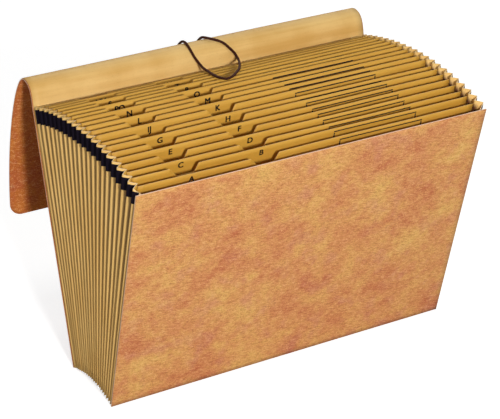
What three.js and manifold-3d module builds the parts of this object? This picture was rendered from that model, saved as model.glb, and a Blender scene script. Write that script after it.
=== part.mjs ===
// Expanding file folder, legal size, standing open like a fan.
// Millimetres. +X is the width, -Y the front cover's side, +Z up.
import * as THREE from 'three';
import { mergeVertices } from 'three/addons/utils/BufferGeometryUtils.js';
import Module from 'manifold-3d';

// Driving dimensions
const COVER_WIDTH = 381;
const COVER_HEIGHT = 267;
const FRONT_HEIGHT = 263;
const POCKETS = 21;
const BASE_DEPTH = 82;
const COVER_LEAN = THREE.MathUtils.degToRad(14.6);
const BASE_BOW = 8.5;
const BOARD = 1.0;
const LINING = 0.35;
const DIVIDER = 0.45;
const GUSSET_PAPER = 0.4;
const GAP = 0.3;

// Gusset pleats
const PLEAT_DEPTH = 7;
const PLEAT_STEPS = 4;
const FLANGE = 10;
const MITRE_LIMIT = 1.3;
const GUSSET_TOP = COVER_HEIGHT - 0.5;
// The top edge slopes down from the first ridge to stay hidden behind the lower front cover
const FRONT_SLOPE = 4.5;
const TAPE_DROP = 2.5;
const TAPE_WIDTH = 14;
const TAPE_PAPER = 0.25;

// Dividers and their finger notches
const DIVIDER_DROP = 3;
// How far each divider has slipped up, from the front one to the back one
const DIVIDER_RISES = [
  -1.2, 0.2, -1.0, -0.5, 0.3, 0.3, 1.1, -0.3, 2.4, 2.6, 3.0, 2.8, 3.4, 3.1, 3.2, 3.0, 3.2, 2.9, 2.8, 2.3,
];
const DIVIDER_HALF_WIDTH = COVER_WIDTH / 2 - PLEAT_DEPTH - MITRE_LIMIT;
const DIVIDER_FOOT = PLEAT_DEPTH + MITRE_LIMIT;
const NOTCH_TOP_WIDTH = 30;
const NOTCH_FLOOR_WIDTH = 18;
const NOTCH_FLOOR_SHIFT = 2;
const NOTCH_DEPTH = 9.5;
const LEFT_COLUMN_X = -130.5;
const RIGHT_COLUMN_X = -52;
const LETTERS = [
  'a', 'b', 'c', 'd', 'e', 'f', 'g', 'h', 'ij', 'k', 'l', 'm', 'n', 'o', 'pq', 'r', 's', 't', 'uv', 'w',
];

// Flap: a crest over the back cover and a leg that hangs behind it
const CREST_RISE = 22;
const CREST_REACH = 18;
const LEG_REACH = 54;
const LEG_DROP = 172;
// The inner control points of the crest's and the leg's curve: back and up from where each begins
const CREST_HANDLES = [[1.5, 0.4 * CREST_RISE], [0.15 * CREST_REACH, CREST_RISE]];
const LEG_HANDLES = [[0.37 * LEG_REACH, 0], [0.99 * LEG_REACH, -0.48 * LEG_DROP]];
const FLAP_CORNER = 13;
const LINING_MARGIN = 0.8;

// Elastic cord and its holes
const CORD_DIAMETER = 2.7;
const CORD_SIDES = 8;
const CORD_STEPS = 94;
const HOLE_RADIUS = 1.9;
const HOLE_LEFT_X = -14;
const HOLE_RIGHT_X = 9;
const HOLE_Y = 180;
const HOLE_Z = 138;
const KNOT_RADIUS = 2.6;
const KNOT_Y = 176.8;
// The cord's route, chosen by hand: up the flap's outer face from the left hole, over the crest,
// round a loop that lies on the dividers' top edges, back over the crest and down to the right hole.
const CORD_ROUTE = [
  [-14, 179.8, 138], [-14, 184.5, 138], [-14, 188.8, 140.8], [-14, 189.6, 146.5], [-14, 186, 155.5],
  [-14, 178.6, 175], [-14, 173.8, 196.8], [-14, 167.9, 218.5], [-14, 161.3, 237.8], [-13.8, 154.2, 254.2],
  [-13.5, 146.9, 267.3], [-13.2, 139.5, 276.8], [-13, 133.3, 281.5], [-13.2, 127.6, 283], [-13.6, 121.5, 282.3],
  [-13.6, 115.6, 279.4], [-11.4, 110.2, 272.2], [-9.2, 105.3, 267.2], [-10.5, 94, 266.3], [-13.5, 78, 268.9],
  [-16.9, 62, 272], [-17.8, 47.3, 274.5], [-14.5, 39, 275.6], [-6, 42.8, 275.1], [4.1, 52.6, 273.7],
  [12.9, 62.8, 272], [25.7, 84.6, 267.8], [32.6, 99, 265.2], [34.8, 107, 265.8], [33.6, 108.8, 268.6],
  [28.9, 111.2, 274.3], [24.9, 114.6, 278.6], [20, 118.4, 281.2], [14.4, 122.4, 282.8], [10.9, 127.6, 283],
  [9.8, 133.3, 281.5], [9.3, 139.5, 276.8], [9.1, 146.9, 267.3], [9, 154.2, 254.2], [9, 161.3, 237.8],
  [9, 167.9, 218.5], [9, 173.8, 196.8], [9, 178.6, 175], [9, 186, 155.5], [9, 189.6, 146.5],
  [9, 188.8, 140.8], [9, 184.5, 138], [9, 179.8, 138],
];

// The fan: sheet t runs from 0 at the front cover to 1 at the back cover
const sheetLean = (t) => COVER_LEAN * (2 * t - 1);
const fanDepth = (height) => BASE_DEPTH + 2 * COVER_LEAN * height;

function fanPoint(x, t, height, behind = 0) {
  const lean = sheetLean(t);
  const foot = BASE_BOW * (1 - (2 * t - 1) ** 2);
  return new THREE.Vector3(
    x,
    BASE_DEPTH * (t - 0.5) + height * Math.sin(lean) + behind * Math.cos(lean),
    foot + height * Math.cos(lean) - behind * Math.sin(lean),
  );
}

function paint(color, roughness) {
  return new THREE.MeshStandardMaterial({ color, roughness, metalness: 0 });
}

const boardPaint = paint(0xc98d58, 0.85);
const kraftPaint = paint(0xd2a04b, 0.8);
const liningPaint = paint(0xe7bd71, 0.75);
const gussetPaint = paint(0xd0a050, 0.8);
const tapePaint = paint(0x1c1423, 0.6);
const cordPaint = paint(0x461e0f, 0.7);

function named(name, geometry, material) {
  const mesh = new THREE.Mesh(geometry, material);
  mesh.name = name;
  return mesh;
}

// Joins two equal grids of points, the faces of a bent sheet, into one closed solid
function sheetSolid(front, back) {
  const rows = front.length;
  const columns = front[0].length;
  const layer = rows * columns;
  const positions = [...front, ...back].flat().flatMap((point) => point.toArray());
  const index = [];
  const quad = (a, b, c, d) => index.push(a, b, c, a, c, d);
  const at = (row, column) => row * columns + column;
  for (let row = 0; row + 1 < rows; row += 1) {
    for (let column = 0; column + 1 < columns; column += 1) {
      const corners = [at(row, column), at(row, column + 1), at(row + 1, column + 1), at(row + 1, column)];
      quad(...corners);
      quad(...corners.reverse().map((corner) => corner + layer));
    }
    const last = columns - 1;
    quad(at(row + 1, 0), at(row + 1, 0) + layer, at(row, 0) + layer, at(row, 0));
    quad(at(row, last), at(row, last) + layer, at(row + 1, last) + layer, at(row + 1, last));
  }
  for (let column = 0; column + 1 < columns; column += 1) {
    const top = rows - 1;
    quad(at(0, column), at(0, column) + layer, at(0, column + 1) + layer, at(0, column + 1));
    quad(at(top, column + 1), at(top, column + 1) + layer, at(top, column) + layer, at(top, column));
  }
  const geometry = new THREE.BufferGeometry();
  geometry.setAttribute('position', new THREE.Float32BufferAttribute(positions, 3));
  geometry.setIndex(signedVolume(positions, index) < 0 ? index.reverse() : index);
  geometry.computeVertexNormals();
  return geometry;
}

function signedVolume(positions, index) {
  const corner = (k) => new THREE.Vector3().fromArray(positions, 3 * index[k]);
  let volume = 0;
  for (let k = 0; k < index.length; k += 3) {
    volume += corner(k).dot(corner(k + 1).cross(corner(k + 2))) / 6;
  }
  return volume;
}

// Flat sheets

function flatSheet(outline, thickness, t, behind) {
  const geometry = new THREE.ExtrudeGeometry(outline, { depth: thickness, bevelEnabled: false });
  geometry.translate(0, 0, -thickness / 2);
  geometry.rotateX(Math.PI / 2 - sheetLean(t));
  const foot = fanPoint(0, t, 0, behind);
  geometry.translate(foot.x, foot.y, foot.z);
  return geometry;
}

function frontCover() {
  const half = COVER_WIDTH / 2;
  const corners = [[-half, 0], [half, 0], [half, FRONT_HEIGHT], [-half, FRONT_HEIGHT]];
  const outline = new THREE.Shape(corners.map(([x, height]) => new THREE.Vector2(x, height)));
  return flatSheet(outline, BOARD, 0, -GAP - BOARD / 2);
}

function divider(number) {
  const top = COVER_HEIGHT - DIVIDER_DROP + DIVIDER_RISES[number - 1];
  const notchX = number % 2 === 1 ? RIGHT_COLUMN_X : LEFT_COLUMN_X;
  const floorX = notchX + NOTCH_FLOOR_SHIFT;
  const outline = new THREE.Shape();
  outline.moveTo(-DIVIDER_HALF_WIDTH, DIVIDER_FOOT);
  outline.lineTo(DIVIDER_HALF_WIDTH, DIVIDER_FOOT);
  outline.lineTo(DIVIDER_HALF_WIDTH, top);
  outline.lineTo(notchX + NOTCH_TOP_WIDTH / 2, top);
  outline.lineTo(floorX + NOTCH_FLOOR_WIDTH / 2, top - NOTCH_DEPTH);
  outline.lineTo(floorX - NOTCH_FLOOR_WIDTH / 2, top - NOTCH_DEPTH);
  outline.lineTo(notchX - NOTCH_TOP_WIDTH / 2, top);
  outline.lineTo(-DIVIDER_HALF_WIDTH, top);
  outline.closePath();
  return flatSheet(outline, DIVIDER, number / POCKETS, 0);
}

// Pleated gusset and its tapes

// The pleats seen along a ridge: x is the distance in from the cover's edge, y the way back
function pleatLine(height) {
  const depth = fanDepth(height);
  const pitch = depth / POCKETS;
  const points = [];
  for (let step = 0; step <= POCKETS * PLEAT_STEPS; step += 1) {
    const inset = PLEAT_DEPTH * (1 - Math.abs(Math.sin((Math.PI * step) / PLEAT_STEPS)));
    points.push(new THREE.Vector2(inset, (pitch * step) / PLEAT_STEPS));
  }
  points[0].y += GUSSET_PAPER / 2;
  points[points.length - 1].y -= GUSSET_PAPER / 2;
  return points;
}

// The same line with the strips that are glued to the two covers
function gussetLine(height) {
  const points = pleatLine(height);
  const inward = new THREE.Vector2(FLANGE, 0);
  return [points[0].clone().add(inward), ...points, points[points.length - 1].clone().add(inward)];
}

// Moves a line sideways by a distance, with mitred corners
function offsetLine(points, distance) {
  return points.map((point, k) => {
    const before = points[Math.max(k - 1, 0)];
    const after = points[Math.min(k + 1, points.length - 1)];
    const into = point.clone().sub(before).normalize();
    const away = after.clone().sub(point).normalize();
    const first = k === 0 ? away : into;
    const second = k === points.length - 1 ? into : away;
    const side = new THREE.Vector2(first.y + second.y, -first.x - second.x).normalize();
    const slant = side.x * first.y - side.y * first.x;
    const reach = Math.min(Math.abs(distance) / slant, MITRE_LIMIT) * Math.sign(distance);
    return point.clone().addScaledVector(side, -reach);
  });
}

function gussetRow(side, height, distance, line) {
  return offsetLine(line(height), distance).map((point) => (
    fanPoint(side * (COVER_WIDTH / 2 - point.x), point.y / fanDepth(height), height)
  ));
}

function gussetTopRow(side, distance) {
  const ridge = PLEAT_STEPS / 2;
  return gussetRow(side, GUSSET_TOP, distance, gussetLine).map((point, k) => {
    const drop = FRONT_SLOPE * THREE.MathUtils.clamp((ridge + 1 - k) / ridge, 0, 1);
    return point.add(new THREE.Vector3(0, -drop * Math.sin(sheetLean(0)), -drop * Math.cos(sheetLean(0))));
  });
}

// At a lower corner the sides and the bottom meet in a mitre: a fold as deep as its inset
function gussetCorner(side, distance) {
  return offsetLine(gussetLine(0), distance).map((point) => (
    fanPoint(side * (COVER_WIDTH / 2 - point.x), point.y / fanDepth(0), point.x)
  ));
}

function gusset() {
  const face = (distance) => [
    gussetTopRow(-1, distance),
    gussetCorner(-1, distance),
    gussetCorner(1, distance),
    gussetTopRow(1, distance),
  ];
  return sheetSolid(face(GUSSET_PAPER / 2), face(-GUSSET_PAPER / 2));
}

function gussetTape(side) {
  const inner = GUSSET_PAPER / 2 + GAP;
  const line = (height) => pleatLine(height).slice(1, -1);
  const top = GUSSET_TOP - TAPE_DROP;
  const face = (distance) => [
    gussetRow(side, top, distance, line),
    gussetRow(side, top - TAPE_WIDTH, distance, line),
  ];
  return sheetSolid(face(inner), face(inner + TAPE_PAPER));
}

// Back cover and flap

// A curve in the side view: where it begins, and its other control points from there
function sideCurve(start, ...offsets) {
  return new THREE.CubicBezierCurve(start, ...offsets.map(([back, up]) => (
    new THREE.Vector2(start.x + back, start.y + up)
  )));
}

// The middle line of the back cover and flap: y and z, the pocket side's normal and the half width
function flapRows() {
  const behind = 1.5 * GAP + LINING + BOARD / 2;
  const foot = fanPoint(0, 1, 0, behind);
  const top = fanPoint(0, 1, COVER_HEIGHT, behind);
  const crest = sideCurve(new THREE.Vector2(top.y, top.z), ...CREST_HANDLES, [CREST_REACH, CREST_RISE]);
  const leg = sideCurve(crest.getPoint(1), ...LEG_HANDLES, [LEG_REACH, -LEG_DROP]);
  const row = (point, tangent, half) => ({ point, side: new THREE.Vector2(-tangent.y, tangent.x), half });
  const upward = new THREE.Vector2(Math.sin(COVER_LEAN), Math.cos(COVER_LEAN));
  const half = COVER_WIDTH / 2;
  const rows = [row(new THREE.Vector2(foot.y, foot.z), upward, half), row(crest.getPoint(0), upward, half)];
  const crestSteps = 7;
  for (let step = 1; step <= crestSteps; step += 1) {
    rows.push(row(crest.getPointAt(step / crestSteps), crest.getTangentAt(step / crestSteps), half));
  }
  const legLength = leg.getLength();
  const legSteps = 12;
  const cornerSteps = 5;
  for (let step = 1; step <= legSteps; step += 1) {
    const u = (step / legSteps) * (1 - FLAP_CORNER / legLength);
    rows.push(row(leg.getPointAt(u), leg.getTangentAt(u), half));
  }
  for (let step = 1; step <= cornerSteps; step += 1) {
    const turn = (Math.PI / 2) * (step / cornerSteps);
    const u = 1 - (FLAP_CORNER * (1 - Math.sin(turn))) / legLength;
    rows.push(row(leg.getPointAt(u), leg.getTangentAt(u), half - FLAP_CORNER * (1 - Math.cos(turn))));
  }
  return rows;
}

function flapSheet(rows, nearer, farther, margin) {
  const face = (distance) => rows.map(({ point, side, half }) => {
    const y = point.x + side.x * distance;
    const z = point.y + side.y * distance;
    return [-1, 0, 1].map((end) => new THREE.Vector3(end * (half - margin), y, z));
  });
  return sheetSolid(face(nearer), face(farther));
}

// Booleans

const wasm = await Module();
wasm.setup();

function solidOf(geometry) {
  const bare = geometry.clone();
  bare.deleteAttribute('normal');
  bare.deleteAttribute('uv');
  const merged = mergeVertices(bare, 1e-4);
  return new wasm.Manifold(new wasm.Mesh({
    numProp: 3,
    vertProperties: new Float32Array(merged.attributes.position.array),
    triVerts: new Uint32Array(merged.index.array),
  }));
}

function geometryOf(solid) {
  const { vertProperties, triVerts } = solid.getMesh();
  const geometry = new THREE.BufferGeometry();
  geometry.setAttribute('position', new THREE.BufferAttribute(vertProperties, 3));
  geometry.setIndex(new THREE.BufferAttribute(triVerts, 1));
  geometry.computeVertexNormals();
  return geometry;
}

// Cuts the two cord holes through a sheet of the flap
function withCordHoles(geometry) {
  const drillLength = 30;
  const drillSides = 16;
  const bores = [HOLE_LEFT_X, HOLE_RIGHT_X].map((x) => {
    const bore = new THREE.CylinderGeometry(HOLE_RADIUS, HOLE_RADIUS, drillLength, drillSides);
    bore.translate(x, HOLE_Y, HOLE_Z);
    return solidOf(bore);
  });
  return geometryOf(bores.reduce((solid, bore) => solid.subtract(bore), solidOf(geometry)));
}

// Elastic cord

function cordLoop() {
  const path = new THREE.CatmullRomCurve3(CORD_ROUTE.map((point) => new THREE.Vector3(...point)));
  const section = new THREE.Shape();
  section.absarc(0, 0, CORD_DIAMETER / 2, 0, 2 * Math.PI, false);
  return new THREE.ExtrudeGeometry(section, {
    steps: CORD_STEPS,
    curveSegments: CORD_SIDES,
    extrudePath: path,
    bevelEnabled: false,
  });
}

function knot(x) {
  const geometry = new THREE.SphereGeometry(KNOT_RADIUS, 12, 8);
  geometry.translate(x, KNOT_Y, HOLE_Z);
  return geometry;
}

// The object

const folder = new THREE.Group();
folder.add(named('front_cover', frontCover(), boardPaint));
LETTERS.forEach((letter, k) => {
  folder.add(named(`divider_${letter}`, divider(k + 1), kraftPaint));
});
folder.add(named('gusset', gusset(), gussetPaint));
folder.add(named('gusset_tape_left', gussetTape(-1), tapePaint));
folder.add(named('gusset_tape_right', gussetTape(1), tapePaint));

const rows = flapRows();
const boardHalf = BOARD / 2;
folder.add(named('back_cover_flap', withCordHoles(flapSheet(rows, -boardHalf, boardHalf, 0)), boardPaint));
const liningInner = boardHalf + GAP;
const lining = flapSheet(rows, liningInner, liningInner + LINING, LINING_MARGIN);
folder.add(named('flap_lining', withCordHoles(lining), liningPaint));

const closure = new THREE.Group();
closure.add(named('elastic_cord', cordLoop(), cordPaint));
closure.add(named('cord_knot_left', knot(HOLE_LEFT_X), cordPaint));
closure.add(named('cord_knot_right', knot(HOLE_RIGHT_X), cordPaint));

// The origin is under the middle of the folder's box, on the surface it stands on
const box = new THREE.Box3().setFromObject(folder);
const model = new THREE.Group();
model.add(folder, closure);
model.position.set(0, -(box.min.y + box.max.y) / 2, -box.min.z);

export default model;
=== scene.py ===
# %% [markdown]
# # An expanding file folder, fanned open
# Two covers of mottled fibre board hold a concertina of kraft paper pockets, marked A to XYZ.
# The back cover runs on into a flap, which here is rolled over backwards and hangs behind the
# folder, and an elastic loop lies over the roll. The solid model gives every place and size, so
# the first cell loads it. The lesson then makes paper that bends, prints on it and lights it.

import math

import bmesh
import bpy
import numpy as np
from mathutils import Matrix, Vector


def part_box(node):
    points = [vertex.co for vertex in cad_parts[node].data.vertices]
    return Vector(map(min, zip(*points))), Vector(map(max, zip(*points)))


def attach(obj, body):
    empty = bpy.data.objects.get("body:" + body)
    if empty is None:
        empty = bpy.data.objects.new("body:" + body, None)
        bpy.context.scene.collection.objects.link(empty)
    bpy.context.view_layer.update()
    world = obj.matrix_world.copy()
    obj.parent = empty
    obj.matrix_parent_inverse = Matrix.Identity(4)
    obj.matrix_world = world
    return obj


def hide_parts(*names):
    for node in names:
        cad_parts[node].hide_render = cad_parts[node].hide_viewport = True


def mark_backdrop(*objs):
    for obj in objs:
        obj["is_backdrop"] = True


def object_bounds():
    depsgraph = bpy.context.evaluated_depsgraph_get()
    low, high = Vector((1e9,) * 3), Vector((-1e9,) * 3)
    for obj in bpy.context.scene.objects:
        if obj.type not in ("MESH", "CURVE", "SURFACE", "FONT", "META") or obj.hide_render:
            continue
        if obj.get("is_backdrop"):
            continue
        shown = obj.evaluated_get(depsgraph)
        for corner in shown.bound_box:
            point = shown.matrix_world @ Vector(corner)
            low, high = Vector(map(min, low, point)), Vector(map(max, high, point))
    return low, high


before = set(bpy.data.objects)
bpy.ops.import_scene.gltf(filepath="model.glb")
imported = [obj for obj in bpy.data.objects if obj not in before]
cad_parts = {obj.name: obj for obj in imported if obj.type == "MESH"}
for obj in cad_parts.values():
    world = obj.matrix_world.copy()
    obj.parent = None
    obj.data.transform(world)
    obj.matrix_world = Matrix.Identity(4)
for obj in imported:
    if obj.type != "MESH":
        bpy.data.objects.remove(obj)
cad_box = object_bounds()
cad_size = [round(high - low, 4) for low, high in zip(*cad_box)]
print("the solid model is", cad_size, "m wide, deep and high")

# %% [markdown]
# ## The fan
# Every sheet of the folder is flat and stands at its own lean. A point on a sheet needs three
# numbers: how far across it is, which sheet it is on (0 at the front cover, 1 at the back cover)
# and how high up the sheet it is. One function turns these into a place, and everything that
# follows is drawn with it. The last number moves a point off its sheet, towards the back.

# %% Sizes of the folder, in metres
MM = 0.001
COVER_WIDTH = 381 * MM
COVER_HEIGHT = 267 * MM
FRONT_HEIGHT = 263 * MM
POCKETS = 21
BASE_DEPTH = 82 * MM
COVER_LEAN = math.radians(14.6)
BASE_BOW = 8.5 * MM
BOARD = 1.0 * MM
LINING = 0.35 * MM
DIVIDER = 0.45 * MM
PLEAT_DEPTH = 7 * MM
GAP = 0.3 * MM


def lean_of(sheet):
    return COVER_LEAN * (2 * sheet - 1)


def fan_place(sheet, height, behind=0.0):
    """y and z of a point on a sheet, before the folder is moved to the middle of its frame."""
    lean = lean_of(sheet)
    foot = BASE_BOW * (1 - (2 * sheet - 1) ** 2)
    y = BASE_DEPTH * (sheet - 0.5) + height * math.sin(lean) + behind * math.cos(lean)
    return y, foot + height * math.cos(lean) - behind * math.sin(lean)


cover_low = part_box("front_cover")[0]
cover_top_y = fan_place(0, FRONT_HEIGHT, -GAP - BOARD)[0]
cover_foot_z = fan_place(0, 0, -GAP - BOARD)[1]
SHIFT_Y = cover_low[1] - cover_top_y
SHIFT_Z = cover_low[2] - cover_foot_z


def fan_point(x, sheet, height, behind=0.0):
    y, z = fan_place(sheet, height, behind)
    return Vector((x, y + SHIFT_Y, z + SHIFT_Z))


print("the fan moves by", round(SHIFT_Y / MM, 2), "and", round(SHIFT_Z / MM, 2), "mm to meet the solids")

# %% [markdown]
# ## The camera
# The photograph looks down at the folder from its left, from some two metres away. A long lens
# from that distance keeps the far edges nearly as long as the near ones, as they are in the
# picture. The camera comes first; the cord's points were measured against its view.

# %% Camera
IMAGE_WIDTH = 500
FOCAL_PIXELS = 1963.75
VIEW_TURN = math.radians(-30.17)
VIEW_RISE = math.radians(26.65)
VIEW_DISTANCE = 1.94027
AIM = Vector((-0.01119, SHIFT_Y, 0.14921 + SHIFT_Z))
SENSOR = 36.0

towards_camera = Vector((
    math.sin(VIEW_TURN) * math.cos(VIEW_RISE),
    -math.cos(VIEW_TURN) * math.cos(VIEW_RISE),
    math.sin(VIEW_RISE),
))
camera_data = bpy.data.cameras.new("photo_camera")
camera_data.sensor_width = SENSOR
camera_data.lens = FOCAL_PIXELS / IMAGE_WIDTH * SENSOR
camera_data.clip_end = 20
camera = bpy.data.objects.new("photo_camera", camera_data)
bpy.context.scene.collection.objects.link(camera)
camera.location = AIM + towards_camera * VIEW_DISTANCE
camera.rotation_mode = "QUATERNION"
camera.rotation_quaternion = (-towards_camera).to_track_quat("-Z", "Y")
bpy.context.scene.camera = camera
print("camera lens", round(camera_data.lens, 1), "mm, at", [round(v, 3) for v in camera.location])

# %% [markdown]
# ## Sums on sockets
# A shader is arithmetic on colours and numbers. Written as nodes and links, a short formula takes
# a page. A small class wraps a socket so that Python's own + and * add the Math nodes, and one
# method of the finish adds any other node. Colours go through a Mix node, never through Math,
# which would turn them grey. Colours are written as they are read off a picture, from 0 to 255.

# %% Helpers for finishes
def ink(red, green, blue):
    """A colour read off a picture, 0 to 255, as the linear values that shaders use (sRGB curve)."""
    def linear(value):
        value /= 255
        return value / 12.92 if value <= 0.04045 else ((value + 0.055) / 1.055) ** 2.4
    return (linear(red), linear(green), linear(blue), 1.0)


class Wire:
    """A node's output socket that takes part in sums."""

    def __init__(self, finish, socket):
        self.finish = finish
        self.socket = socket

    def sum(self, operation, first, second):
        return self.finish.node("ShaderNodeMath", {"operation": operation}, {0: first, 1: second})

    def __add__(self, other):
        return self.sum("ADD", self, other)

    def __radd__(self, other):
        return self.sum("ADD", other, self)

    def __mul__(self, other):
        return self.sum("MULTIPLY", self, other)

    def __rmul__(self, other):
        return self.sum("MULTIPLY", other, self)


print("mid grey, 128 of 255, is", round(ink(128, 128, 128)[0], 3), "of full light")


# %% A finish and its nodes
class Finish:
    """A material with one Principled shader, and the method that adds nodes to it."""

    def __init__(self, name):
        self.material = bpy.data.materials.new(name)
        self.material.use_nodes = True
        self.tree = self.material.node_tree
        self.shader = self.tree.nodes["Principled BSDF"]

    def node(self, kind, settings=None, values=None, output=0):
        made = self.tree.nodes.new(kind)
        for key, setting in (settings or {}).items():
            if key == "stops":
                self.set_stops(made.color_ramp, setting)
            else:
                setattr(made, key, setting)
        for key, value in (values or {}).items():
            self.feed(made.inputs[key], value)
        return Wire(self, made.outputs[output])

    def set_stops(self, ramp, stops):
        while len(ramp.elements) < len(stops):
            ramp.elements.new(1.0)
        for element, (place, colour) in zip(ramp.elements, stops):
            element.position = place
            element.color = colour

    def feed(self, socket, value):
        if isinstance(value, Wire):
            self.tree.links.new(value.socket, socket)
        else:
            socket.default_value = value

    def set(self, **values):
        for key, value in values.items():
            self.feed(self.shader.inputs[key.replace("_", " ")], value)

    def mix(self, amount, first, second):
        """One colour fading into another."""
        settings = {"data_type": "RGBA", "clamp_factor": True}
        return self.node("ShaderNodeMix", settings, {0: amount, 6: first, 7: second}, output=2)

    def ramp(self, amount, low, high):
        """0 below low, 1 above high and a smooth step between."""
        settings = {"interpolation_type": "SMOOTHSTEP"}
        return self.node("ShaderNodeMapRange", settings, {0: amount, 1: low, 2: high})

    def place(self, stretch=(1, 1, 1), turn=(0, 0, 0)):
        """The object's own coordinates, in metres, stretched and turned."""
        spot = self.node("ShaderNodeTexCoord", output=3)
        settings = {"vector_type": "TEXTURE"}
        return self.node("ShaderNodeMapping", settings, {0: spot, "Rotation": turn, "Scale": stretch})

    def noise(self, spot, scale, detail=4.0, roughness=0.55):
        values = {"Vector": spot, "Scale": scale, "Detail": detail, "Roughness": roughness}
        return self.node("ShaderNodeTexNoise", None, values)

    def bump(self, height, distance, strength):
        values = {"Height": height, "Distance": distance, "Strength": strength}
        return self.node("ShaderNodeBump", None, values)


# %% [markdown]
# ## Fibre board
# The covers are pressed board with a red-brown fibre face. Close to, it is a cloudy mix of
# orange, brick red and straw, with a fine grain of fibres over it. A picture of board could be
# laid on, but noise has no seams and stays sharp up close. Noises of different sizes are added:
# clouds a few centimetres across, smaller patches, a pinker flush here and there, and a grain of
# fibres drawn out along the board. The back board and its flap are a deeper red than the front
# one, so the function takes the tones. The cut edge shows the paler pulp inside.

# %% Fibre board
FRONT_TONES = [(226, 184, 98), (220, 162, 90), (210, 138, 82), (188, 94, 58)]
BACK_TONES = [(212, 132, 36), (200, 112, 30), (184, 88, 26), (156, 58, 20)]
FRONT_FLUSH = (206, 134, 108)
BACK_FLUSH = (188, 90, 44)
TONE_PLACES = (0.34, 0.45, 0.54, 0.64)
DARK_FIBRE = (160, 86, 46)
PALE_FIBRE = (244, 198, 138)


def make_fibre_board(name, tones, flush_tone):
    finish = Finish(name)
    slant = finish.place(stretch=(1.25, 1.0, 1.0), turn=(0, math.radians(-22), 0))
    clouds = finish.noise(slant, scale=24, detail=9, roughness=0.68)
    patches = finish.noise(finish.place(), scale=95, detail=6, roughness=0.7)
    tint = finish.noise(finish.place(stretch=(1.3, 1, 1)), scale=11, detail=3, roughness=0.5)
    cloudy = clouds * 0.6 + patches * 0.25 + tint * 0.15
    stops = [(place, ink(*tone)) for place, tone in zip(TONE_PLACES, tones)]
    mottle = finish.node("ShaderNodeValToRGB", {"stops": stops}, {0: cloudy})
    flush = finish.noise(finish.place(), scale=46, detail=5, roughness=0.6)
    mottle = finish.mix(finish.ramp(flush, 0.5, 0.68) * 0.4, mottle, ink(*flush_tone))
    drawn_out = finish.place(stretch=(3, 1, 1), turn=(0, math.radians(10), 0))
    fibres = finish.noise(drawn_out, scale=560, detail=5, roughness=0.75)
    grain = finish.noise(finish.place(), scale=900, detail=4, roughness=0.75)
    speckle = fibres * 0.5 + grain * 0.5
    base = finish.mix(finish.ramp(speckle, 0.49, 0.6) * 0.6, mottle, ink(*DARK_FIBRE))
    base = finish.mix(finish.ramp(speckle, 0.5, 0.39) * 0.5, base, ink(*PALE_FIBRE))
    finish.set(Base_Color=base, Roughness=0.7 + speckle * 0.2)
    finish.set(Normal=finish.bump(speckle, 0.00014, 0.6))
    return finish.material


fibre_board = make_fibre_board("fibre_board", FRONT_TONES, FRONT_FLUSH)
back_fibre_board = make_fibre_board("back_fibre_board", BACK_TONES, BACK_FLUSH)
print("made", fibre_board.name, "and", back_fibre_board.name)


# %% Cut edges
def make_cut_edge(name, colour, speck):
    finish = Finish(name)
    layers = finish.noise(finish.place(), scale=800, detail=3, roughness=0.6)
    base = finish.mix(finish.ramp(layers, 0.4, 0.65) * 0.5, ink(*colour), ink(*speck))
    finish.set(Base_Color=base, Roughness=0.85)
    return finish.material


board_edge = make_cut_edge("board_edge", (246, 214, 186), (226, 178, 144))
paper_edge = make_cut_edge("paper_edge", (232, 196, 130), (210, 166, 92))
gusset_edge = make_cut_edge("gusset_edge", (252, 232, 200), (238, 208, 164))
print("made", board_edge.name, paper_edge.name, gusset_edge.name)

# %% [markdown]
# ## Kraft paper
# Pockets, gusset and lining are all kraft, in three tones: golden dividers, a paler gusset, and
# a pale, smooth lining. Kraft is faintly streaked along the machine's direction and has short
# dark fibres, so one function makes all three. The gusset's folds get painted shade, darker the
# deeper in: an attribute of the mesh, stored later, tells the paper how deep in a fold it lies.

# %% Kraft papers
FLECK_SHADE = 0.72


def make_kraft(name, pale, deep, streak_stretch, streak_amount=0.55, fold_shade_tone=None):
    """streak_stretch: how drawn out the streaks are along x, y and z."""
    finish = Finish(name)
    streaks = finish.noise(finish.place(stretch=streak_stretch), scale=60, detail=4, roughness=0.6)
    clouds = finish.noise(finish.place(), scale=22, detail=3, roughness=0.5)
    specks = finish.noise(finish.place(stretch=(3, 1, 1)), scale=1300, detail=2, roughness=0.7)
    tone = finish.ramp(streaks * 0.6 + clouds * 0.4, 0.36, 0.66)
    base = finish.mix(tone * streak_amount, ink(*pale), ink(*deep))
    fleck = finish.ramp(specks, 0.55, 0.75)
    base = finish.mix(fleck * 0.18, base, ink(*(FLECK_SHADE * value for value in deep)))
    if fold_shade_tone:
        # Painted shade: the deeper a point lies in a fold, the darker the paper is painted.
        fold = finish.node("ShaderNodeAttribute", {"attribute_name": "fold"}, output=2)
        base = finish.mix(finish.ramp(fold, 0.12, 0.72), base, ink(*fold_shade_tone))
    finish.set(Base_Color=base, Roughness=0.62 + fleck * 0.2)
    finish.set(Normal=finish.bump(specks, 0.00006, 0.5))
    return finish.material


divider_kraft = make_kraft("divider_kraft", (212, 162, 60), (196, 142, 42), (9, 1, 1))
# The gusset's folds are painted darker with this brown, as shade.
gusset_kraft = make_kraft("gusset_kraft", (240, 196, 116), (224, 174, 90), (1, 1, 8), fold_shade_tone=(84, 42, 4))
lining_kraft = make_kraft("lining_kraft", (236, 196, 122), (212, 164, 84), (24, 1, 1), streak_amount=1.0)
print("made", divider_kraft.name, gusset_kraft.name, lining_kraft.name)

# %% [markdown]
# ## Tape, elastic and ink
# The gusset's top is bound with black cloth tape, which has a fine weave: two waves, one across
# the other. The elastic is covered with a spun thread that winds round the core, so its pattern
# follows a UV map: one way round and one way along. The ink is matt and nearly black.

# %% Tape, elastic and ink
WEAVE_SCALE = 233.3
THREAD_TURNS = 420


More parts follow.
